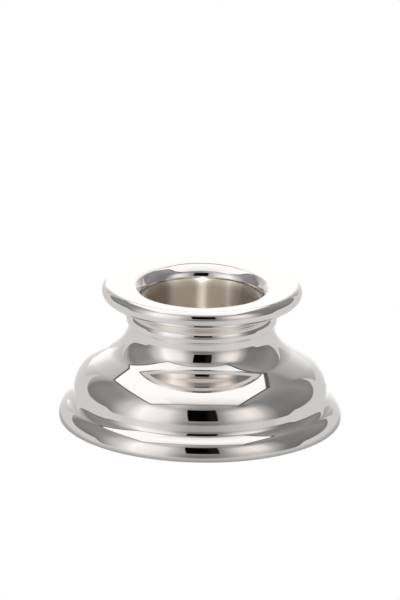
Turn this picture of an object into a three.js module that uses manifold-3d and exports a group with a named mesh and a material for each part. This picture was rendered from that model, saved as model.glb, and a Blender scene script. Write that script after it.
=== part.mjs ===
// Altar candlestick: a low, weighted candlestick for one thick altar candle.
// Millimetres, +Z up, origin at the centre of the felt pad's underside.
// A spun foot shell, a collar ring and a drip flange are clamped together by a
// tie screw that runs from the bottom of the socket tube down through the
// ballast to a nut in the dished base plate. The candle cup drops loose into
// the socket tube and lifts straight out to be cleaned.

import * as THREE from "three";
import { mergeVertices } from "three/addons/utils/BufferGeometryUtils.js";
import Module from "manifold-3d";

const wasm = await Module();
wasm.setup();

// ---------------------------------------------------------------- dimensions
// In the grouped sizes, bore and radius are the inner and outer radii, and low
// and high are heights.
const SEGMENTS = 48; // facets round every large turned piece, all in phase
const FINE = 24; // facets round the screw, nut bore and plain washer
const GAP = 0.05; // between neighbouring clamped pieces
const SEAT_GAP = 0.1; // above the seat plate and under the candle cup

// Socket tube and what stands in it
const TUBE = { bore: 20.95, radius: 22.25, low: 15.0, high: 44.35 };
const CUP = {
  bore: 20.1, // a 40 mm candle with clearance
  radius: 20.6,
  low: 21.7,
  high: 45.45,
  floor: 1.2, // thickness
  footChamfer: 0.8,
  outerChamfer: 0.1, // at the rim
  innerChamfer: 0.35,
};
// Corners between the cup's bore and floor: [distance in from bore, height above floor]
const CUP_FLOOR_CORNERS = [
  [0, 1.0],
  [0.3, 0.3],
  [1.0, 0],
];

// Base plate, nut and washers, stacked upwards from the plate's underside
const PLATE = { radius: 47.9, low: 1.0, thickness: 1.2 };
const PLATE_TOP_Z = PLATE.low + PLATE.thickness;
const SCREW_HOLE_R = 2.75;
const NUT = { bore: 2.6, flats: 8.0, low: PLATE.low, high: 3.7 };
const SPRING_WASHER = {
  bore: SCREW_HOLE_R,
  radius: 4.4,
  low: NUT.high + GAP,
  high: 4.65,
  halfSplit: 9, // degrees either side of +X
};
const SPRING_CURVE_STEPS = 14; // curve divisions of the spring washer
const WASHER = {
  bore: SCREW_HOLE_R,
  radius: 5.3,
  low: SPRING_WASHER.high + GAP,
  high: 5.55,
};
const DISH = {
  flatR: 8.9, // raised flat, underside
  footR: 11.7, // where the slope meets the plate, underside
  topShift: 0.7, // how much wider both are on the top side
  low: WASHER.high + GAP,
};

const SEAT_PLATE = { bore: SCREW_HOLE_R, radius: TUBE.bore - 0.05, low: 16.0, high: 18.0 };
const SEAT_RING = {
  bore: 13.0,
  radius: 20.8,
  low: SEAT_PLATE.high + SEAT_GAP,
  high: CUP.low - SEAT_GAP,
};

// M5 tie screw, ending level with the base plate's underside
const SCREW = { radius: 2.45, low: PLATE.low, chamfer: 0.5 };
const HEAD = { radius: 4.6, low: SEAT_PLATE.high + SEAT_GAP, high: 20.9, chamfer: 0.4 };
const SLOT = { width: 1.2, depth: 1.3 };

const BALLAST = { bore: 14.5, radius: 41.5, low: PLATE_TOP_Z + 0.15, high: 14.2 };
// Ballast's upper edge: [distance in from its radius, height]
const BALLAST_EDGE = [
  [0, 10.5],
  [2.0, 13.2],
  [4.5, BALLAST.high],
];

const FELT = { bore: 12.6, radius: 47.5, low: 0, high: PLATE.low - GAP, chamfer: 0.15 };

// Foot shell
const WALL = 1.4;
const RIM_Z = 0.3; // underside of the metal rim
const RIM_BORE_R = PLATE.radius + 0.15; // recess for the base plate
const LEDGE = { bore: 45.2, radius: 48.6, low: PLATE_TOP_Z + GAP, high: 3.5 };
const HOLLOW_Z = [5.0, 36.0]; // between these the inside follows the outside
const DECK_Z = 41.25; // top deck, which carries the collar ring
const DECK_R = 25.07; // outer edge of the deck, where the neck bead ends
const DECK_HOLE_R = TUBE.radius + 0.25;
const UNDER_DECK = { radius: 24.3, drop: 0.3 }; // outer edge of the deck's underside

const NECK_BEAD = { centreR: 23.56, centreZ: 38.09, radius: 3.5 };
const NECK_BEAD_ARC = [-28, 64.5]; // degrees above level
const BEAD_STEPS = 7; // along the neck bead and the collar bead

// Drip flange
const FLANGE_R = 35.82; // widest radius
const FLANGE_TOP_Z = 51.1;
const NOSE_R = 3.2; // bullnose of its edge
const NOSE_STEPS = 12;
const FLANGE_SEAT_Z = 44.7; // flat underside, on the collar ring
const LIP_R = 21.2; // narrowest radius of its rolled lip
const LIP_Z = 45.68; // height of that narrowest ring
const HUB = { bore: TUBE.radius + 0.1, radius: 24.3, low: DECK_Z + 0.25 };

// Collar ring
const COLLAR = {
  bore: HUB.radius + 0.1,
  footR: 24.95, // narrow step under the bead
  footRise: 0.12, // of the step's top above the bead's lowest point
  low: DECK_Z + GAP,
  high: FLANGE_SEAT_Z - GAP,
};
const COLLAR_BEAD = { centreR: 25.8, centreZ: 43.0, radius: 1.72 };
const COLLAR_BEAD_FROM = -88; // degrees above level

// Outlines made of arcs joined in line: [length, heading at the arc's end in
// degrees, corners]. Heading 0 points outwards, 90 up and 180 towards the axis.
const ARC_SUBSTEPS = 8; // integration steps to each corner

// The outside of the shell from its rim up to the neck
const SHELL_START = [49.975, RIM_Z];
const SHELL_START_HEADING = 20.36;
const SHELL_ARCS = [
  [0.895, 87.5, 1], // rolled rim
  [3.78, 116.5, 2], // foot, lower
  [2.111, 131.4, 1], // foot, middle
  [1.2, 144.5, 1], // foot, upper
  [2.0, 131.0, 1], // cove, lower
  [1.8, 95.0, 3], // cove, upper
  [2.14, 94.6, 1], // nearly straight run up to the shoulder
  [1.7, 107.9, 1], // shoulder, lower
  [4.087, 124.3, 2], // shoulder, middle
  [6.306, 146.9, 3], // shoulder, upper
  [6.442, 150.2, 1], // top of the shoulder
  [5.358, 132.6, 2], // neck hollow, lower
  [4.68, 108.0, 3], // neck hollow, upper
  [1.68, 90.0, 1], // waist
  [1.33, 89.5, 1], // neck
  [0.82, 62.0, 1], // fillet under the neck bead
];

// The flange's top from the bullnose in to the narrowest ring of the lip
const FLANGE_TOP_ARCS = [
  [1.144, 187.25, 1],
  [4.835, 191.87, 2],
  [1.956, 197.27, 1],
  [0.676, 200.14, 1],
  [0.74, 218.35, 1],
  [1.359, 223.75, 1],
  [1.938, 246.43, 2],
  [1.03, 269.07, 2],
];

// ------------------------------------------------------------------ outlines
const { degToRad, radToDeg } = THREE.MathUtils;

// Corners along arcs joined in line, from a start point and heading.
function sweep(start, startHeading, arcs) {
  const points = [start];
  let [radius, z] = start;
  let heading = startHeading;
  for (const [length, endHeading, corners] of arcs) {
    const steps = corners * ARC_SUBSTEPS;
    for (let i = 0; i < steps; i++) {
      const angle = degToRad(heading + ((endHeading - heading) * (i + 0.5)) / steps);
      radius += (Math.cos(angle) * length) / steps;
      z += (Math.sin(angle) * length) / steps;
      if ((i + 1) % ARC_SUBSTEPS === 0) points.push([radius, z]);
    }
    heading = endHeading;
  }
  return points;
}

// Points on a circle between two angles in degrees, both ends included.
function arc({ centreR, centreZ, radius }, from, to, steps) {
  return Array.from({ length: steps + 1 }, (_, i) => {
    const angle = degToRad(from + ((to - from) * i) / steps);
    return [centreR + radius * Math.cos(angle), centreZ + radius * Math.sin(angle)];
  });
}

// The same line moved sideways by a distance, to the left of its direction.
function offset(points, distance) {
  return points.map(([radius, z], i) => {
    const before = points[Math.max(i - 1, 0)];
    const after = points[Math.min(i + 1, points.length - 1)];
    const [run, rise] = [after[0] - before[0], after[1] - before[1]];
    const length = Math.hypot(run, rise);
    return [radius - (rise / length) * distance, z + (run / length) * distance];
  });
}

// -------------------------------------------------------------------- solids
// A geometry with shared corners merged and no collapsed triangles.
function closed(geometry) {
  const plain = geometry.clone();
  plain.deleteAttribute("normal");
  plain.deleteAttribute("uv");
  const merged = mergeVertices(plain, 1e-4);
  const index = [];
  for (let i = 0; i < merged.index.count; i += 3) {
    const triangle = [0, 1, 2].map((k) => merged.index.getX(i + k));
    if (new Set(triangle).size === 3) index.push(...triangle);
  }
  merged.setIndex(index);
  merged.computeVertexNormals();
  return merged;
}

// A turned solid from [radius, height] corners in a closed loop, or from axis to axis.
function turned(corners, segments = SEGMENTS) {
  const loop = [...corners];
  const doubleArea = loop.reduce((sum, [radius, z], i) => {
    const [nextR, nextZ] = loop[(i + 1) % loop.length];
    return sum + radius * nextZ - nextR * z;
  }, 0);
  // Anticlockwise outlines give outward faces.
  if (doubleArea < 0) loop.reverse();
  // An outline that runs along the axis is opened there; any other is closed.
  const axisStart = loop.findIndex(([radius], i) => radius === 0 && loop.at(i - 1)[0] === 0);
  const line =
    axisStart >= 0
      ? [...loop.slice(axisStart), ...loop.slice(0, axisStart)]
      : [...loop, loop[0]];
  const geometry = new THREE.LatheGeometry(
    line.map(([radius, z]) => new THREE.Vector2(radius, z)),
    segments,
  );
  geometry.rotateX(Math.PI / 2);
  return closed(geometry);
}

// A turned ring of rectangular section.
function ring({ bore, radius, low, high }, segments) {
  const corners = [
    [bore, low],
    [radius, low],
    [radius, high],
    [bore, high],
  ];
  return turned(corners, segments);
}

// A flat shape given thickness from one height to another.
function extruded(shape, { low, high }, curveSegments) {
  const geometry = new THREE.ExtrudeGeometry(shape, {
    depth: high - low,
    bevelEnabled: false,
    curveSegments,
  });
  geometry.translate(0, 0, low);
  return closed(geometry);
}

function toManifold(geometry) {
  const { attributes, index } = closed(geometry);
  return new wasm.Manifold(
    new wasm.Mesh({
      numProp: 3,
      vertProperties: new Float32Array(attributes.position.array),
      triVerts: new Uint32Array(index.array),
    }),
  );
}

function fromManifold(manifold) {
  const { vertProperties, triVerts, numProp } = manifold.getMesh();
  const geometry = new THREE.BufferGeometry();
  geometry.setAttribute("position", new THREE.BufferAttribute(vertProperties, numProp));
  geometry.setIndex([...triVerts]);
  geometry.computeVertexNormals();
  return geometry;
}

// -------------------------------------------------------------------- pieces
// Foot shell: rim, ogee foot, shoulder, neck and the neck's own bead, hollow
// inside, with an inturned ledge that the base plate bears on.
function footShell() {
  const outside = sweep(SHELL_START, SHELL_START_HEADING, SHELL_ARCS);
  // The sweep's end and the deck's edge stand in for the bead's own ends.
  const bead = arc(NECK_BEAD, ...NECK_BEAD_ARC, BEAD_STEPS).slice(1, -1);
  // Every other corner is enough inside.
  const inside = offset(outside, WALL)
    .filter(([, z], i) => z > HOLLOW_Z[0] && z < HOLLOW_Z[1] && i % 2 === 0)
    .reverse();
  return turned([
    ...outside,
    ...bead,
    [DECK_R, DECK_Z],
    [DECK_HOLE_R, DECK_Z],
    [DECK_HOLE_R, DECK_Z - WALL],
    [UNDER_DECK.radius, DECK_Z - WALL - UNDER_DECK.drop],
    ...inside,
    [LEDGE.radius, LEDGE.high],
    [LEDGE.bore, LEDGE.high],
    [LEDGE.bore, LEDGE.low],
    [RIM_BORE_R, LEDGE.low],
    [RIM_BORE_R, RIM_Z],
  ]);
}

// Collar ring: one half-round bead, slipped over the flange's hub.
function collarRing() {
  const { bore, footR, footRise, low, high } = COLLAR;
  const { centreZ, radius } = COLLAR_BEAD;
  const beadTo = radToDeg(Math.asin((high - centreZ) / radius));
  return turned([
    [bore, low],
    [footR, low],
    [footR, centreZ - radius + footRise],
    ...arc(COLLAR_BEAD, COLLAR_BEAD_FROM, beadTo, BEAD_STEPS),
    [bore, high],
  ]);
}

// Drip flange: bullnose edge, dished top running into the big rolled lip, and a
// hub below that screws on the socket tube.
function dripFlange() {
  const nose = { centreR: FLANGE_R - NOSE_R, centreZ: FLANGE_TOP_Z - NOSE_R, radius: NOSE_R };
  return turned([
    ...arc(nose, -90, 90, NOSE_STEPS).slice(0, -1),
    ...sweep([nose.centreR, FLANGE_TOP_Z], 180, FLANGE_TOP_ARCS).slice(0, -1),
    [LIP_R, LIP_Z],
    // The opening widens slightly below the lip.
    [LIP_R + 0.02, LIP_Z - 0.5],
    [LIP_R + 0.3, FLANGE_SEAT_Z],
    [HUB.bore, FLANGE_SEAT_Z],
    [HUB.bore, HUB.low],
    [HUB.radius, HUB.low],
    [HUB.radius, FLANGE_SEAT_Z],
  ]);
}

// Candle cup: a thin turned cup with a flat floor and a chamfered rim.
function candleCup() {
  const { bore, radius, low, high, footChamfer, outerChamfer, innerChamfer } = CUP;
  const floorZ = low + CUP.floor;
  return turned([
    [0, low],
    [radius - footChamfer, low],
    [radius, low + footChamfer],
    [radius, high - outerChamfer],
    [radius - outerChamfer, high],
    [bore + innerChamfer, high],
    [bore, high - innerChamfer],
    ...CUP_FLOOR_CORNERS.map(([inset, rise]) => [bore - inset, floorZ + rise]),
    [0, floorZ],
  ]);
}

// Ballast: a cast ring filling the foot, with its upper edge following the shell.
function ballastRing() {
  const { bore, radius, low, high } = BALLAST;
  return turned([
    [bore, low],
    [radius, low],
    ...BALLAST_EDGE.map(([inset, z]) => [radius - inset, z]),
    [bore, high],
  ]);
}

// Base plate: a pressed disc, dished up in the middle to keep the nut above the table.
function basePlate() {
  const { flatR, footR, topShift, low } = DISH;
  return turned([
    [SCREW_HOLE_R, low],
    [flatR, low],
    [footR, PLATE.low],
    [PLATE.radius, PLATE.low],
    [PLATE.radius, PLATE_TOP_Z],
    [footR + topShift, PLATE_TOP_Z],
    [flatR + topShift, low + PLATE.thickness],
    [SCREW_HOLE_R, low + PLATE.thickness],
  ]);
}

// Felt pad: a ring glued under the base plate, a little proud of the metal rim.
function feltPad() {
  const { bore, radius, low, high, chamfer } = FELT;
  return turned([
    [bore, low + chamfer],
    [bore + chamfer, low],
    [radius - chamfer, low],
    [radius, low + chamfer],
    [radius, high],
    [bore, high],
  ]);
}

// Tie screw with a slotted cheese head.
function tieScrew() {
  const corners = [
    [0, SCREW.low],
    [SCREW.radius - SCREW.chamfer, SCREW.low],
    [SCREW.radius, SCREW.low + SCREW.chamfer],
    [SCREW.radius, HEAD.low],
    [HEAD.radius, HEAD.low],
    [HEAD.radius, HEAD.high - HEAD.chamfer],
    [HEAD.radius - HEAD.chamfer, HEAD.high],
    [0, HEAD.high],
  ];
  // Longer than the head and half above it, so it cuts cleanly through.
  const slot = new THREE.BoxGeometry(HEAD.radius * 3, SLOT.width, SLOT.depth * 2);
  slot.translate(0, 0, HEAD.high);
  return fromManifold(toManifold(turned(corners, FINE)).subtract(toManifold(slot)));
}

// Spring washer, split at +X.
function springWasher() {
  const from = degToRad(SPRING_WASHER.halfSplit);
  const to = 2 * Math.PI - from;
  const shape = new THREE.Shape();
  shape.absarc(0, 0, SPRING_WASHER.radius, from, to, false);
  shape.absarc(0, 0, SPRING_WASHER.bore, to, from, true);
  shape.closePath();
  return extruded(shape, SPRING_WASHER, SPRING_CURVE_STEPS);
}

// Hexagon nut with two corners on the X axis.
function hexNut() {
  const cornerR = NUT.flats / Math.sqrt(3);
  const corners = Array.from({ length: 6 }, (_, i) => {
    const angle = degToRad(60 * i);
    return new THREE.Vector2(cornerR * Math.cos(angle), cornerR * Math.sin(angle));
  });
  const shape = new THREE.Shape(corners);
  shape.closePath();
  const hole = new THREE.Path();
  hole.absarc(0, 0, NUT.bore, 0, 2 * Math.PI, true);
  shape.holes.push(hole);
  // A full circle gets two facets per curve segment.
  return extruded(shape, NUT, FINE / 2);
}

// ------------------------------------------------------------------ assembly
const FINISHES = {
  silver: { color: 0xdedad5, roughness: 0.06, metalness: 1.0 },
  brushed: { color: 0xb7a996, roughness: 0.38, metalness: 1.0 },
  brass: { color: 0xb08d4f, roughness: 0.35, metalness: 1.0 },
  steel: { color: 0x9a9c9e, roughness: 0.3, metalness: 1.0 },
  iron: { color: 0x3b3b3d, roughness: 0.75, metalness: 0.8 },
  rubber: { color: 0x232323, roughness: 0.85, metalness: 0.0 },
  felt: { color: 0x24402f, roughness: 1.0, metalness: 0.0 },
};

function piece(name, geometry, finish) {
  const mesh = new THREE.Mesh(geometry, new THREE.MeshStandardMaterial(FINISHES[finish]));
  mesh.name = name;
  return mesh;
}

const body = new THREE.Group(); // everything but the loose cup
body.add(
  piece("foot_shell", footShell(), "silver"),
  piece("collar_ring", collarRing(), "silver"),
  piece("drip_flange", dripFlange(), "silver"),
  piece("socket_tube", ring(TUBE), "brass"),
  piece("seat_plate", ring(SEAT_PLATE), "brass"), // in the tube's foot, under the screw's head
  piece("seat_ring", ring(SEAT_RING), "rubber"), // the candle cup stands on it
  piece("ballast_ring", ballastRing(), "iron"),
  piece("base_plate", basePlate(), "steel"),
  piece("felt_pad", feltPad(), "felt"),
  piece("tie_screw", tieScrew(), "steel"),
  piece("plain_washer", ring(WASHER, FINE), "steel"),
  piece("spring_washer", springWasher(), "steel"),
  piece("hex_nut", hexNut(), "steel"),
);

const loose = new THREE.Group(); // lifts out by hand
loose.add(piece("candle_cup", candleCup(), "brushed"));

const candlestick = new THREE.Group();
candlestick.add(body, loose);

export default candlestick;
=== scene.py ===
"""Altar candlestick: a silver foot, collar and drip flange round a satin candle cup, on a felt pad.

It stands on Z = 0 with the candle's axis on Z; the camera looks along +Y. Scene units are
metres. The turned pieces are drawn as (radius, height) profiles in millimetres.
"""

import math

import bpy
import bmesh
import numpy as np
from mathutils import Matrix, Vector


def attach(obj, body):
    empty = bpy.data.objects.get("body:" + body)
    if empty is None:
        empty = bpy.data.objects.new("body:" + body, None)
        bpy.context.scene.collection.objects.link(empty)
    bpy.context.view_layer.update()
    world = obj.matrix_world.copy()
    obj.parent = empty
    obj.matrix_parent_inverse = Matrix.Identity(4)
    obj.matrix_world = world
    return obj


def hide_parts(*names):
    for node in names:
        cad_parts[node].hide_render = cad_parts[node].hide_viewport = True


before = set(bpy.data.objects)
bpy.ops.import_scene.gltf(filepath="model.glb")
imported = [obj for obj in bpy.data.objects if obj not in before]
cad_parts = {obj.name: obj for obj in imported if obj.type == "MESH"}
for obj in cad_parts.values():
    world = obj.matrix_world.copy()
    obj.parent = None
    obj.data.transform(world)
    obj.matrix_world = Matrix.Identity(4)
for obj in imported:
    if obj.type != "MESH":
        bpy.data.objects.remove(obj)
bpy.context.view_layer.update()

MM = 0.001
scene = bpy.context.scene

# Foot shell. The rim is its bottom edge, the deck the flat ring on top of its neck.
RIM_R, RIM_Z = 49.975, 0.3
RIM_INNER_R = 48.05
SHELL_WALL = 1.4
LEDGE_R, LEDGE_LOW, LEDGE_HIGH = 45.2, 2.25, 3.5  # flat ring inside the rim
DECK_Z, DECK_R, DECK_HOLE_R = 41.25, 25.07, 22.5
# Beads: radius and height of the section's centre, then the section's own radius.
NECK_BEAD = (23.56, 38.09, 3.5)
COLLAR_BEAD = (25.8, 43.0, 1.72)
# Drip flange. The nose is its round outer edge, the skirt the tube below its middle.
SEAT_Z = 44.7
FLANGE_R, FLANGE_TOP_Z, NOSE_R = 35.82, 51.1, 3.2
SKIRT_R, SKIRT_BORE_R = 24.3, 22.35
FLANGE_LIP = (21.2, 45.68)
# Candle cup
CUP_R, CUP_BORE_R = 20.6, 20.1
CUP_LOW_Z, CUP_FLOOR_Z, CUP_TOP_Z = 21.7, 22.9, 45.55
# Felt pad
PAD_HOLE_R, PAD_R, PAD_TOP_Z = 12.6, 47.5, 0.95

# Outlines for sweep(): arc length in mm, heading in degrees at the arc's end.
FOOT_HEADING = 20.36  # at the rim
FOOT_ARCS = [
    (0.895, 87.5), (3.78, 116.5), (2.111, 131.4), (1.2, 144.5), (2.0, 131.0), (1.8, 95.0),
    (2.14, 94.6), (1.7, 107.9), (4.087, 124.3), (6.306, 146.9), (6.442, 150.2), (5.358, 132.6),
    (4.68, 108.0), (1.68, 90.0), (1.33, 89.5), (0.82, 62.0),
]
FLANGE_ARCS = [
    (1.144, 187.25), (4.835, 191.87), (1.956, 197.27), (0.676, 200.14),
    (0.74, 218.35), (1.359, 223.75), (1.938, 246.43), (1.03, 269.07),
]


# ------------------------------------------------------------ profile helpers
def sweep(start, heading, arcs, step=0.2):
    """(radius, height) points along arcs joined in line: (length, heading at the end)."""
    r, z = start
    points = [(r, z)]
    for length, end in arcs:
        count = max(4, math.ceil(length / step))
        for i in range(count):
            angle = math.radians(heading + (end - heading) * (i + 0.5) / count)
            r += math.cos(angle) * length / count
            z += math.sin(angle) * length / count
            points.append((r, z))
        heading = end
    return points


def arc(centre_r, centre_z, radius, start, end, steps):
    """Points on an arc; angles in degrees, 0 outwards and 90 up."""
    angles = [math.radians(start + (end - start) * i / steps) for i in range(steps + 1)]
    return [(centre_r + radius * math.cos(a), centre_z + radius * math.sin(a)) for a in angles]


def offset(points, distance):
    """The line moved sideways, to the left of its direction."""
    out = []
    for i, point in enumerate(points):
        before, after = points[max(i - 1, 0)], points[min(i + 1, len(points) - 1)]
        dr, dz = after[0] - before[0], after[1] - before[1]
        length = math.hypot(dr, dz)
        out.append((point[0] - dz / length * distance, point[1] + dr / length * distance))
    return out


def rounded(corners, radii, steps):
    """A closed loop of corners with each one rounded by its own radius."""
    out = []
    for i, (corner, radius) in enumerate(zip(corners, radii)):
        corner = Vector(corner)
        back = (Vector(corners[i - 1]) - corner).normalized()
        ahead = (Vector(corners[(i + 1) % len(corners)]) - corner).normalized()
        half = math.acos(back.dot(ahead)) / 2
        reach = radius / math.tan(half)
        centre = corner + (back + ahead).normalized() * (radius / math.sin(half))
        first = (corner + back * reach) - centre
        last = (corner + ahead * reach) - centre
        start = math.atan2(first.y, first.x)
        turn = (math.atan2(last.y, last.x) - start + math.pi) % (2 * math.pi) - math.pi
        for k in range(steps + 1):
            angle = start + turn * k / steps
            out.append(
                (centre.x + radius * math.cos(angle), centre.y + radius * math.sin(angle))
            )
    return out


def stations_down(start, stop, pitch):
    """Values one pitch apart from start down, while they are above stop."""
    values = []
    while start > stop:
        values.append(start)
        start -= pitch
    return values


# --------------------------------------------------------------- mesh helpers
def finish_mesh(name, verts, faces, sharp):
    mesh = bpy.data.meshes.new(name)
    mesh.from_pydata(verts, [], faces)
    mesh.validate()
    bm = bmesh.new()
    bm.from_mesh(mesh)
    bmesh.ops.recalc_face_normals(bm, faces=bm.faces)
    bm.to_mesh(mesh)
    bm.free()
    mesh.shade_smooth()
    mesh.set_sharp_from_angle(angle=math.radians(sharp))
    obj = bpy.data.objects.new(name, mesh)
    scene.collection.objects.link(obj)
    return obj


def turned(name, loop, segments=256, sharp=32, shape=None):
    """A solid of revolution from a closed loop of (radius, height) in mm.

    Edges over sharp degrees stay crisp. shape(r, z, angle, i) may move a point.
    """
    ring = []
    for point in loop:
        if not ring or math.dist(point, ring[-1]) > 1e-4:
            ring.append(point)
    if math.dist(ring[0], ring[-1]) < 1e-4:
        ring.pop()

    verts, rows = [], []
    for i, (r, z) in enumerate(ring):
        if r < 1e-6:  # on the axis: one shared vertex
            rows.append([len(verts)] * segments)
            verts.append((0, 0, z * MM))
            continue
        row = []
        for k in range(segments):
            a = 2 * math.pi * k / segments
            new_r, new_z = (r, z) if shape is None else shape(r, z, a, i)
            row.append(len(verts))
            verts.append((new_r * math.cos(a) * MM, new_r * math.sin(a) * MM, new_z * MM))
        rows.append(row)

    faces = []
    for i, row in enumerate(rows):
        after = rows[(i + 1) % len(rows)]
        for k in range(segments):
            m = (k + 1) % segments
            face = list(dict.fromkeys((row[k], row[m], after[m], after[k])))
            if len(face) > 2:
                faces.append(face)
    return finish_mesh(name, verts, faces, sharp)


# --------------------------------------------------------------- node helpers
def feed(tree, value, socket):
    """Link a Num or an output to an input, or set the input to a plain value."""
    if isinstance(value, Num):
        value = value.value
    if isinstance(value, bpy.types.NodeSocket):
        tree.links.new(value, socket)
    else:
        socket.default_value = value


def fill(tree, node, inputs):
    for key, value in inputs.items():
        feed(tree, value, node.inputs[key])


def add(tree, kind, inputs=None, **settings):
    """A new shader node with its settings made and its inputs fed."""
    node = tree.nodes.new("ShaderNode" + kind)
    for key, value in settings.items():
        setattr(node, key, value)
    fill(tree, node, inputs or {})
    return node


class Num:
    """A number in a node tree: arithmetic on it adds Math nodes."""

    def __init__(self, tree, value):
        self.tree = tree
        self.value = value

    def _node(self, operation, *others, clamp=False):
        inputs = dict(enumerate((self, *others)))
        node = add(self.tree, "Math", inputs, operation=operation, use_clamp=clamp)
        return Num(self.tree, node.outputs[0])

    def __add__(self, other):
        return self._node("ADD", other)

    __radd__ = __add__

    def __sub__(self, other):
        return self._node("SUBTRACT", other)

    def __rsub__(self, other):
        return Num(self.tree, other)._node("SUBTRACT", self)

    def __mul__(self, other):
        return self._node("MULTIPLY", other)

    __rmul__ = __mul__

    def __truediv__(self, other):
        return self._node("DIVIDE", other)

    def __pow__(self, other):
        return self._node("POWER", other)

    def abs(self):
        return self._node("ABSOLUTE")

    def sqrt(self):
        return self._node("SQRT")

    def exp(self):
        return self._node("EXPONENT")

    def atan2(self, other):
        return self._node("ARCTAN2", other)

    def max(self, other):
        return self._node("MAXIMUM", other)

    def clamp(self):
        return self._node("ADD", 0.0, clamp=True)

    def rise(self, low, high):
        """0 below low, 1 above high, smooth between."""
        inputs = {0: self, 1: low, 2: high}  # value, from min, from max
        node = add(self.tree, "MapRange", inputs, interpolation_type="SMOOTHSTEP")
        return Num(self.tree, node.outputs[0])

    def fall(self, low, high):
        """1 below low, 0 above high, smooth between."""
        return 1.0 - self.rise(low, high)

    def mix(self, other, t):
        """self at t 0, other at t 1."""
        return self + (other - self) * t

    def table(self, stops):
        """Straight lines through (input, output) stops, flat outside them."""
        low, high = stops[0][0], stops[-1][0]
        node = add(self.tree, "ValToRGB", {0: (self - low) * (1.0 / (high - low))})
        elements = node.color_ramp.elements
        for x, _ in stops[1:-1]:
            elements.new((x - low) / (high - low))
        for element, (_, y) in zip(elements, stops):
            element.color = (y, y, y, 1)
        return Num(self.tree, node.outputs[0])


def split(tree, socket):
    return [Num(tree, part) for part in add(tree, "SeparateXYZ", {0: socket}).outputs]


def join(tree, *parts):
    return add(tree, "CombineXYZ", dict(enumerate(parts))).outputs[0]


def tint(tree, tone, colour):
    return join(tree, *(tone * channel for channel in colour))


# --------------------------------------------------------------------- studio
def levels(stops):
    """Display levels, 0 to 255, as 0 to 1."""
    return [(at, level / 255.0) for at, level in stops]


# Brightness round the walls: azimuth in degrees (0 towards the camera, 90 to its right,
# 180 behind the object), display level. WALL_REAR_RIGHT takes over from WALL_MIDDLE past 90.
WALL_LOW = levels([
    (-180, 255), (-159, 253), (-155, 232), (-152, 206), (-141, 186), (-134, 168), (-128, 120),
    (-100, 112), (-90, 120), (-78, 170), (-64, 215), (-56, 240), (-42, 226), (-30, 205),
    (-20, 160), (-10, 118), (0, 108), (14, 118), (24, 150), (34, 176), (46, 190), (56, 186),
    (66, 150), (76, 112), (95, 106), (128, 120), (138, 128), (142, 160), (152, 186), (158, 215),
    (166, 248), (180, 255),
])
WALL_MIDDLE = levels([
    (-180, 255), (-160, 255), (-156.5, 243), (-153, 212), (-148, 196), (-141, 182), (-134, 165),
    (-128, 124), (-116, 134), (-98, 134), (-90, 143), (-84, 162), (-78, 186), (-70, 200),
    (-64, 226), (-57, 249), (-50, 242), (-40, 234), (-30, 222), (-22, 187), (-16, 162),
    (19, 137), (25, 170), (32, 203), (40, 225), (49, 239), (58, 218), (64, 174), (70, 150),
    (76, 121), (97, 118), (180, 118),
])
WALL_REAR_RIGHT = levels([
    (90, 118), (110, 126), (125, 138), (135, 128), (139, 132), (142, 158), (148, 174),
    (152, 185), (157, 212), (163, 240), (169, 255), (180, 255),
])
WALL_HIGH = levels([
    (-180, 252), (-165, 240), (-155, 220), (-146, 192), (-136, 172), (-130, 154), (-120, 152),
    (-100, 151), (-84, 166), (-70, 184), (-56, 190), (-40, 186), (-26, 176), (-14, 146),
    (0, 128), (14, 128), (24, 136), (34, 146), (44, 150), (56, 140), (70, 126), (95, 128),
    (125, 140), (139, 146), (143, 162), (149, 176), (157, 212), (166, 240), (180, 252),
])
TABLE_LEVELS = levels([
    (-180, 254), (-171, 245), (-163, 213), (-150, 200), (-120, 200), (-85, 202), (-50, 207),
    (-20, 190), (0, 184), (20, 190), (50, 205), (85, 200), (120, 200), (150, 200), (159, 210),
    (165, 235), (172, 248), (180, 254),
])

# Overhead softbox, on a ceiling plane one unit up: across is to the camera's right, near is
# towards the camera. Each edge is the (start, end) of its fade.
BOX_LEFT, BOX_RIGHT = (-0.80, -0.785), (0.55, 0.565)
BOX_FAR, BOX_NEAR = (-0.83, -0.81), (0.46, 0.54)
FRAME_LEFT, FRAME_RIGHT = (-0.845, -0.825), (0.585, 0.61)
FRAME_FAR, FRAME_NEAR = (-0.88, -0.855), (0.47, 0.56)
FRAME_LEVEL = 0.33
# Softbox brightness: place from far to near, display level.
BOX_LEVELS = levels([
    (-0.82, 252), (0.0, 250), (0.087, 247), (0.268, 235), (0.404, 221), (0.488, 178),
    (0.54, 152),
])
# A soft spot off the box's near right corner: its centre, level, strength and tightness.
SPOT_ACROSS, SPOT_NEAR = 0.64, 0.50
SPOT_LEVEL, SPOT_STRENGTH, SPOT_FALLOFF = 0.40, 0.85, -90.0


def wall_level(azimuth, elevation):
    """The walls, blended up through their low, middle and high levels."""
    middle = azimuth.table(WALL_MIDDLE)
    middle = middle.mix(azimuth.table(WALL_REAR_RIGHT), azimuth.rise(89.5, 90.5))
    low, high = azimuth.table(WALL_LOW), azimuth.table(WALL_HIGH)
    wall = low.mix(middle, elevation.rise(-2.0, 24.0)).mix(high, elevation.rise(36.0, 52.0))
    return wall + elevation.rise(48.0, 60.0) * 0.09  # a little lighter near the ceiling


def wall_mask(azimuth, elevation):
    """1 on the walls, 0 on the table.

    The walls' lower edge is just above the table beside the object and curves up where the
    sweep begins.
    """
    side = azimuth.abs()
    curve = ((side - 115.0) / 25.0).clamp()
    edge = 3.5 + (1.0 - (1.0 - curve * curve).sqrt()) * 30.0
    edge = edge.mix(-8.0, side.fall(84.0, 94.0))
    edge = edge.mix(8.5, side.rise(139.0, 143.0)).mix(-12.0, side.rise(164.0, 171.0))
    soft = 1.4 + side.fall(60.0, 84.0) * 6.0
    return elevation.rise(edge - soft, edge + soft)


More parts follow.
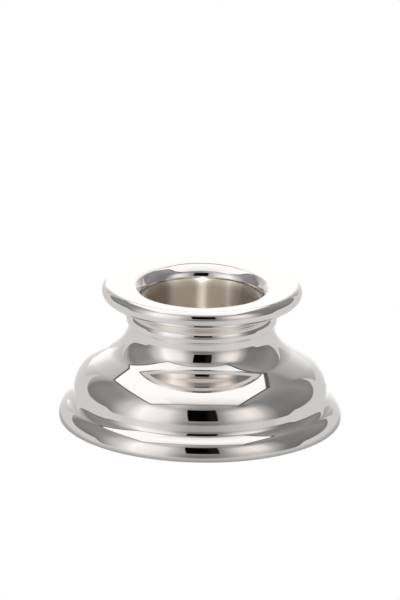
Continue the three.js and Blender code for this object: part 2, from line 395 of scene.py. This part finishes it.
def add_hood(level, azimuth, elevation):
    """The camera hood: a tall dark box in front, a little wider at the top."""
    height = ((elevation - 16.3) / 32.1).clamp()
    left = -10.4 - height * 4.0
    right = 16.2 + height * 1.2
    hood = (
        azimuth.rise(left - 1.0, left + 1.0)
        * azimuth.fall(right - 1.2, right + 1.2)
        * elevation.rise(15.2, 17.4)
        * elevation.fall(47.5, 49.3)
    )
    dark = 0.012 + azimuth.rise(4.0, 11.0) * 0.075  # lighter towards its right
    return level.mix(dark, hood)


def add_softbox(level, x, y, z):
    """The softbox, its grey frame and the soft spot beside it."""
    height = z.max(0.02)
    across, near = x / height, y / height
    overhead = z.rise(0.3, 0.45)
    lit = near.table(BOX_LEVELS)
    # The box stays this bright at least, less so near the camera and on the right.
    lit = lit.max(0.965 - near.rise(0.38, 0.5) * 0.25 - across.rise(-0.45, -0.05) * 0.5)
    rim = across.rise(*FRAME_LEFT) * across.fall(*FRAME_RIGHT)
    rim = rim * near.rise(*FRAME_FAR) * near.fall(*FRAME_NEAR) * overhead
    level = level.mix(FRAME_LEVEL, rim)
    box = across.rise(*BOX_LEFT) * across.fall(*BOX_RIGHT)
    box = box * near.rise(*BOX_FAR) * near.fall(*BOX_NEAR) * overhead
    level = level.mix(lit, box)
    distance2 = (across - SPOT_ACROSS) * (across - SPOT_ACROSS) + (near - SPOT_NEAR) * (
        near - SPOT_NEAR
    )
    spot = (distance2 * SPOT_FALLOFF).exp() * overhead * (1.0 - box) * SPOT_STRENGTH
    return level.mix(SPOT_LEVEL, spot)


def studio(tree, direction):
    """The light that comes from a direction in the studio: a large overhead softbox, two tall
    side panels, grey side walls, a white sweep behind and the dark camera hood in front. The
    studio turns with the camera, as if the object stood on a turntable."""
    turn = add(
        tree, "VectorTransform", {0: (1, 0, 0)},
        vector_type="VECTOR", convert_from="CAMERA", convert_to="WORLD",
    )
    right_x, right_y, _ = split(tree, turn.outputs[0])
    length = (right_x * right_x + right_y * right_y).sqrt()
    right_x, right_y = right_x / length, right_y / length
    world_x, world_y, z = split(tree, direction)
    # x is to the camera's right, y towards the camera.
    x = world_x * right_x + world_y * right_y
    y = world_x * right_y - world_y * right_x
    flat = (x * x + y * y).sqrt()
    azimuth = x.atan2(y) * 57.29578  # radians to degrees
    elevation = z.atan2(flat) * 57.29578

    wall = wall_level(azimuth, elevation)
    level = azimuth.table(TABLE_LEVELS).mix(wall, wall_mask(azimuth, elevation))
    level = add_hood(level, azimuth, elevation)
    level = add_softbox(level, x, y, z)

    # Display level to light (sRGB curve), as it looks in silver, which reflects 0.948.
    light = ((level.max(0.0) + 0.055) / 1.055) ** 2.4
    light = light / 0.948
    # The panel on the camera's right is a little warm.
    warm = (azimuth - 50.0).abs().fall(4.0, 16.0) * elevation.rise(4.0, 12.0)
    warm = warm * elevation.fall(38.0, 46.0)
    return join(tree, light, light * (1.0 - 0.055 * warm), light * (1.0 - 0.09 * warm))


def white_to_camera(tree, light):
    """The light for reflections, plain white where the camera sees it directly."""
    camera_ray = add(tree, "LightPath").outputs["Is Camera Ray"]
    inputs = {0: camera_ray, 6: light, 7: (1, 1, 1, 1)}  # factor, colour A, colour B
    return add(tree, "Mix", inputs, data_type="RGBA").outputs[2]


def blank_tree(owner):
    owner.use_nodes = True
    owner.node_tree.nodes.clear()
    return owner.node_tree


def make_world():
    world = bpy.data.worlds.new("studio")
    scene.world = world
    tree = blank_tree(world)
    light = studio(tree, add(tree, "TexCoord").outputs["Generated"])
    back = add(tree, "Background", {0: white_to_camera(tree, light)})
    add(tree, "OutputWorld", {0: back.outputs[0]})


def make_floor():
    """A plain white table top, lit evenly; it darkens softly where the foot shades it."""
    mesh = bpy.data.meshes.new("floor")
    half = 9.0
    corners = [(-half, -half, 0), (half, -half, 0), (half, half, 0), (-half, half, 0)]
    mesh.from_pydata(corners, [], [(0, 1, 2, 3)])
    obj = bpy.data.objects.new("floor", mesh)
    scene.collection.objects.link(obj)

    mat = bpy.data.materials.new("table_top")
    tree = blank_tree(mat)
    geometry = add(tree, "NewGeometry")
    flip = {0: geometry.outputs["Incoming"], "Scale": -1.0}
    outward = add(tree, "VectorMath", flip, operation="SCALE").outputs[0]
    light = studio(tree, outward)
    x, y, _ = split(tree, geometry.outputs["Position"])
    radius = (x * x + y * y).sqrt()
    shade = 0.58 + radius.rise(0.0495, 0.061) * 0.42  # fades just outside the foot's rim
    dim = add(tree, "VectorMath", {0: light, "Scale": shade}, operation="SCALE")
    glow = add(tree, "Emission", {0: white_to_camera(tree, dim.outputs[0])})
    add(tree, "OutputMaterial", {0: glow.outputs[0]})
    mat.cycles.emission_sampling = "NONE"
    mesh.materials.append(mat)


TUBE_HEIGHT = 2.0  # metres; the sizes below are in units of it
TUBE_LENGTH, TUBE_REAR = 0.7, 0.1  # along Y, and how far the middle lies towards +Y
TUBES = ((0.0, 0.06, 34.0), (0.54, 0.04, 9.0), (-0.64, 0.05, 9.0))  # across, width, radiance


def make_tubes(cup):
    """The softbox's tubes: long, narrow lights overhead that only the satin cup picks up, as
    streaks."""
    only = bpy.data.collections.new("satin_only")
    only.objects.link(cup)
    for i, (across, width, radiance) in enumerate(TUBES):
        lamp = bpy.data.lights.new(f"tube_{i}", "AREA")
        lamp.shape = "RECTANGLE"
        lamp.size, lamp.size_y = width * TUBE_HEIGHT, TUBE_LENGTH * TUBE_HEIGHT
        lamp.energy = radiance * math.pi * lamp.size * lamp.size_y
        obj = bpy.data.objects.new(lamp.name, lamp)
        obj.location = (across * TUBE_HEIGHT, TUBE_REAR * TUBE_HEIGHT, TUBE_HEIGHT)
        obj.visible_camera = False
        obj.light_linking.receiver_collection = only
        scene.collection.objects.link(obj)


# ------------------------------------------------------------------ materials
SILVER = (0.982, 0.948, 0.921)

# Painted highlights: light streaks painted down the cup's bore, where the overhead lights streak on
# it: degrees from the Y axis (towards +X or -X), whiteness.
BORE_PAINTED_HIGHLIGHTS = [
    (-90, 0.0), (-60, 0.1), (-50, 0.25), (-45, 0.45), (-41, 0.05), (-37, 0.25), (-32.5, 0.95),
    (-28.5, 0.75), (-25.5, 0.2), (-14, 0.25), (-8, 0.5), (-4, 0.95), (0, 1.0), (3, 0.85),
    (6, 0.35), (12, 0.15), (20, 0.05), (24, 0.3), (27.5, 1.0), (30.5, 0.3), (34, 0.0),
    (38.5, 0.05), (42.5, 0.5), (46.5, 0.05), (51, 0.3), (56, 0.1), (75, 0.0), (90, 0.0),
]


def material(name):
    mat = bpy.data.materials.new(name)
    tree = blank_tree(mat)
    bsdf = add(tree, "BsdfPrincipled")
    add(tree, "OutputMaterial", {0: bsdf.outputs[0]})
    return mat, tree, bsdf


def object_place(tree):
    return split(tree, add(tree, "TexCoord").outputs["Object"])


def noise(tree, scale, detail=3.0, rough=0.5, stretch=(1, 1, 1), distortion=0.0):
    place = add(tree, "TexCoord").outputs["Object"]
    mapping = add(tree, "Mapping", {0: place, "Scale": stretch})
    inputs = {
        "Vector": mapping.outputs[0],
        "Scale": scale,
        "Detail": detail,
        "Roughness": rough,
        "Distortion": distortion,
    }
    return Num(tree, add(tree, "TexNoise", inputs).outputs["Fac"])


def ring_lines(tree, place, density, around, detail=3.0):
    """Fine lines round the Z axis; around is how fast they change with the angle."""
    x, y, z = place
    radius = (x * x + y * y).sqrt()
    vector = join(tree, radius * density, z * density, y.atan2(x) * around)
    inputs = {"Vector": vector, "Scale": 1.0, "Detail": detail}
    return Num(tree, add(tree, "TexNoise", inputs).outputs["Fac"])


def bump(tree, height, strength, distance):
    inputs = {"Height": height, "Strength": strength, "Distance": distance}
    return add(tree, "Bump", inputs).outputs[0]


def polished_silver():
    mat, tree, bsdf = material("polished_silver")
    # Polishing lines run round the piece and are just broken enough not to read as rings.
    lines = ring_lines(tree, object_place(tree), density=5200.0, around=0.6, detail=4.0)
    haze = noise(tree, scale=60.0, detail=4.0, rough=0.6)
    specks = noise(tree, scale=900.0, detail=2.0).rise(0.70, 0.80)
    fill(tree, bsdf, {
        "Metallic": 1.0,
        "Roughness": 0.018 + haze.rise(0.45, 0.75) * 0.018 + specks * 0.01,
        "Base Color": tint(tree, 1.0 - haze.rise(0.5, 0.8) * 0.012, SILVER),
        "Normal": bump(tree, lines, strength=0.02, distance=0.00001),
    })
    return mat


def turned_nickel():
    """Satin bore: the tool's rings run round it, so highlights spread along the axis."""
    mat, tree, bsdf = material("turned_nickel")
    place = object_place(tree)
    x, y, _ = place
    lines = ring_lines(tree, place, density=3000.0, around=0.4)
    blotch = noise(tree, scale=90.0)
    tangent = add(tree, "Tangent", direction_type="RADIAL", axis="Z")
    tone = 0.93 + lines * 0.08 + (blotch - 0.5) * 0.06
    # Painted highlights: streaks painted whiter into the colour down the bore, where the overhead
    # lights streak on the turned finish.
    painted_highlight = (x.atan2(y.abs()) * 57.29578).table(BORE_PAINTED_HIGHLIGHTS)
    colour = (0.80 + painted_highlight * 0.19, 0.70 + painted_highlight * 0.25, 0.585 + painted_highlight * 0.315)
    fill(tree, bsdf, {
        "Metallic": 1.0,
        "Roughness": 0.41 + lines * 0.06,
        "Anisotropic": 1.0,
        "Anisotropic Rotation": 0.25,
        "Tangent": tangent.outputs[0],
        "Base Color": tint(tree, tone, colour),
        "Normal": bump(tree, lines, strength=0.05, distance=0.00002),
    })
    return mat


def plain_metal(name, colour, roughness, spread, scale, bump_size):
    """Turned or plated metal: tool rings and a cloudy tone."""
    mat, tree, bsdf = material(name)
    lines = ring_lines(tree, object_place(tree), density=2600.0, around=0.8)
    cloud = noise(tree, scale, detail=4.0, rough=0.6)
    fill(tree, bsdf, {
        "Metallic": 1.0,
        "Roughness": roughness + cloud * spread,
        "Base Color": tint(tree, 0.86 + cloud * 0.2 + lines * 0.08, colour),
        "Normal": bump(tree, lines, strength=0.2, distance=bump_size),
    })
    return mat


def cast_iron():
    mat, tree, bsdf = material("cast_iron")
    grain = noise(tree, scale=1400.0, detail=5.0, rough=0.65)
    cloud = noise(tree, scale=70.0)
    fill(tree, bsdf, {
        "Metallic": 0.35,
        "Roughness": 0.55 + grain * 0.3,
        "Base Color": tint(tree, 0.7 + grain * 0.4 + cloud * 0.2, (0.075, 0.072, 0.075)),
        "Normal": bump(tree, grain, strength=0.6, distance=0.0003),
    })
    return mat


def rubber():
    mat, tree, bsdf = material("ring_rubber")
    grain = noise(tree, scale=2200.0)
    fill(tree, bsdf, {
        "Roughness": 0.7 + grain * 0.2,
        "Base Color": tint(tree, 0.8 + grain * 0.4, (0.032, 0.032, 0.034)),
        "Normal": bump(tree, grain, strength=0.4, distance=0.0001),
    })
    return mat


def felt():
    """Green felt: fibres lie along X and along Y."""
    mat, tree, bsdf = material("felt")
    fibre_y, fibre_x = (
        noise(tree, scale=2600.0, detail=5.0, rough=0.7, stretch=stretch, distortion=1.2)
        for stretch in ((1, 0.35, 1), (0.35, 1, 1))
    )
    cloud = noise(tree, scale=120.0)
    tone = 0.45 + fibre_y.max(fibre_x) * 0.8 + cloud * 0.3
    fill(tree, bsdf, {
        "Base Color": tint(tree, tone, (0.022, 0.075, 0.042)),
        "Roughness": 0.95,
        "Sheen Weight": 0.5,
        "Sheen Roughness": 0.6,
        "Normal": bump(tree, fibre_y.max(fibre_x), strength=0.7, distance=0.0003),
    })
    return mat


# --------------------------------------------------------------------- pieces
def foot_shell():
    outside = sweep((RIM_R, RIM_Z), FOOT_HEADING, FOOT_ARCS)
    bead_r, bead_z, _ = NECK_BEAD
    end_r, end_z = outside[-1]
    start = math.degrees(math.atan2(end_z - bead_z, end_r - bead_r))
    bead = arc(*NECK_BEAD, start=start, end=64.5, steps=40)[1:]
    bead[-1] = (DECK_R, DECK_Z)
    # The inner face follows the outer one with fewer points.
    inside = [
        point
        for i, point in enumerate(offset(outside, SHELL_WALL))
        if 5.0 < point[1] < 36.0 and i % 5 == 0
    ]
    under_deck = DECK_Z - SHELL_WALL
    deck = [(DECK_HOLE_R, DECK_Z), (DECK_HOLE_R, under_deck), (24.3, under_deck - 0.3)]
    ledge = [
        (48.6, LEDGE_HIGH), (LEDGE_R, LEDGE_HIGH), (LEDGE_R, LEDGE_LOW),
        (RIM_INNER_R, LEDGE_LOW), (RIM_INNER_R, RIM_Z),
    ]
    return turned("foot_shell_skin", outside + bead + deck + inside[::-1] + ledge)


def collar_ring():
    """A half-round bead between the deck and the flange's seat."""
    centre_r, centre_z, radius = COLLAR_BEAD
    low, high = DECK_Z + 0.05, SEAT_Z - 0.05
    bore, foot_r = 24.4, 24.95
    top = math.degrees(math.asin((high - centre_z) / radius))
    bead = arc(centre_r, centre_z, radius, start=-88, end=top, steps=36)
    foot = [(bore, low), (foot_r, low), (foot_r, centre_z - radius + 0.12)]
    return turned("collar_ring_skin", foot + bead + [(bore, high)])


def drip_flange():
    nose_r, nose_z = FLANGE_R - NOSE_R, FLANGE_TOP_Z - NOSE_R
    nose = arc(nose_r, nose_z, NOSE_R, start=-90, end=90, steps=60)[:-1]
    top = sweep((nose_r, FLANGE_TOP_Z), 180, FLANGE_ARCS, step=0.12)
    top[-1] = FLANGE_LIP
    skirt_low = DECK_Z + 0.25
    inner = [
        (21.22, 45.18), (21.5, SEAT_Z), (SKIRT_BORE_R, SEAT_Z), (SKIRT_BORE_R, skirt_low),
        (SKIRT_R, skirt_low), (SKIRT_R, SEAT_Z),
    ]
    return turned("drip_flange_skin", nose + top + inner)


def candle_cup():
    radius, bore, low, floor, top = CUP_R, CUP_BORE_R, CUP_LOW_Z, CUP_FLOOR_Z, CUP_TOP_Z
    # The rim flares over the tube, so that the gap round the cup reads as a fine line.
    brim = radius + 0.57
    wall = [
        (0, low), (radius - 0.8, low), (radius, low + 0.8), (radius, top - 1.1),
        (brim, top - 0.7), (brim, top - 0.1), (brim - 0.08, top),
        (bore + 0.72, top - 0.22), (bore + 0.36, top - 0.85), (bore + 0.1, top - 1.8),
    ]
    # Shallow tool rings down the bore.
    rings = [
        (bore - (0.006 if k % 2 else 0.0), z - 0.01)
        for k, z in enumerate(stations_down(top - 2.6, floor + 1.2, pitch=0.45))
    ]
    fillet = arc(bore - 1.0, floor + 1.0, 1.0, start=0, end=-90, steps=8)
    # Turned floor: fine steps towards a small centre mark.
    steps = [
        (r, floor + (0.03 if k % 2 else 0.0))
        for k, r in enumerate(stations_down(bore - 1.4, 2.2, pitch=0.55))
    ]
    centre = [(1.7, floor), (1.3, floor - 0.05), (0.6, floor - 0.3), (0.0, floor - 0.42)]
    return turned("candle_cup_skin", wall + rings + fillet + steps + centre, sharp=50)


def felt_pad():
    """A flat ring with rough cut edges and underside; its top face stays flat."""
    rng = np.random.default_rng(7)
    waves = [
        (rng.integers(5, 60), rng.uniform(0, 6.28), rng.uniform(0.2, 1.0)) for _ in range(24)
    ]
    total = sum(size for _, _, size in waves)

    def rough(a, drift):
        return sum(size * math.sin(n * a + lag + drift * n) for n, lag, size in waves) / total

    corners = [(PAD_HOLE_R, 0.0), (PAD_R, 0.0), (PAD_R, PAD_TOP_Z), (PAD_HOLE_R, PAD_TOP_Z)]
    loop = rounded(corners, radii=[0.3, 0.3, 0.1, 0.1], steps=5)
    spacing = 0.9
    dense = []
    for i, (r, z) in enumerate(loop):
        next_r, next_z = loop[(i + 1) % len(loop)]
        n = max(1, int(math.hypot(next_r - r, next_z - z) / spacing))
        for k in range(n):
            dense.append((r + (next_r - r) * k / n, z + (next_z - z) * k / n))

    def shape(r, z, a, i):
        if z > PAD_TOP_Z - 0.05:
            return r, z
        # The second wave runs faster and in small jumps of angle.
        wave = rough(a, i * 0.37) + 0.5 * rough(a * 3.0 // 0.01 * 0.01, i * 0.11)
        depth = abs(0.05 * wave)
        outer = r > PAD_R - 0.35
        if outer or r < PAD_HOLE_R + 0.35:
            sign = -1 if outer else 1
            return r + sign * depth * 1.6, max(z + 0.3 * depth, 0.0)
        return r, max(z + depth * 0.8, 0.0)

    return turned("felt_pad_skin", dense, segments=360, sharp=60, shape=shape)


def build():
    silver = polished_silver()
    nickel = turned_nickel()
    brass = plain_metal(
        "brass", (0.74, 0.56, 0.27), roughness=0.22, spread=0.16, scale=80.0, bump_size=0.00002
    )
    zinc = plain_metal(
        "plate_steel", (0.60, 0.61, 0.60),
        roughness=0.28, spread=0.2, scale=140.0, bump_size=0.00003,
    )
    steel = plain_metal(
        "screw_steel", (0.56, 0.56, 0.57),
        roughness=0.25, spread=0.18, scale=240.0, bump_size=0.00002,
    )
    iron, black, wool = cast_iron(), rubber(), felt()

    # New skins: maker, material, body they move with, CAD node they replace, slot.
    for make, mat, body, node, slot in (
        (foot_shell, silver, "stand", "foot_shell", "polished_silver"),
        (collar_ring, silver, "stand", "collar_ring", "polished_silver"),
        (drip_flange, silver, "stand", "drip_flange", "polished_silver"),
        (candle_cup, nickel, "cup", "candle_cup", "brushed_nickel"),
        (felt_pad, wool, "stand", "felt_pad", "felt"),
    ):
        piece = make()
        piece.data.materials.append(mat)
        if node == "candle_cup":
            make_tubes(piece)
        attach(piece, body)
        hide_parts(node)

    # CAD pieces that keep their meshes.
    for node, mat in (
        ("socket_tube", brass),
        ("seat_plate", brass),
        ("seat_ring", black),
        ("ballast_ring", iron),
        ("base_plate", zinc),
        ("tie_screw", steel),
        ("plain_washer", steel),
        ("spring_washer", steel),
        ("hex_nut", steel),
    ):
        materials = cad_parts[node].data.materials
        materials.clear()
        materials.append(mat)


# --------------------------------------------------------------------- camera
CAMERA_ELEVATION = 18.6  # degrees above the table
CAMERA_DISTANCE = 3.2175
CAMERA_TARGET = Vector((0, 0, 0.02492))
# Small turns off the target, in degrees about the camera's own axes.
CAMERA_TURNS = ((1.03, "Z"), (0.328238, "X"), (0.00642986, "Y"))  # roll, tilt up, pan left


def make_camera():
    cam = bpy.data.objects.new("camera", bpy.data.cameras.new("camera"))
    scene.collection.objects.link(cam)
    cam.data.lens = 540.0
    cam.data.sensor_width = 36.0
    cam.data.clip_start, cam.data.clip_end = 0.05, 60.0
    elevation = math.radians(CAMERA_ELEVATION)
    back = Vector((0, -math.cos(elevation), math.sin(elevation)))
    right = Vector((1, 0, 0))
    basis = Matrix((right, back.cross(right), back)).transposed()
    roll, tilt, pan = (Matrix.Rotation(math.radians(a), 3, axis) for a, axis in CAMERA_TURNS)
    cam.rotation_mode = "QUATERNION"
    cam.rotation_quaternion = (basis @ (roll @ tilt @ pan)).to_quaternion()
    cam.location = CAMERA_TARGET + back * CAMERA_DISTANCE
    scene.camera = cam


build()
make_floor()
make_world()
make_camera()
scene.view_settings.view_transform = "Standard"
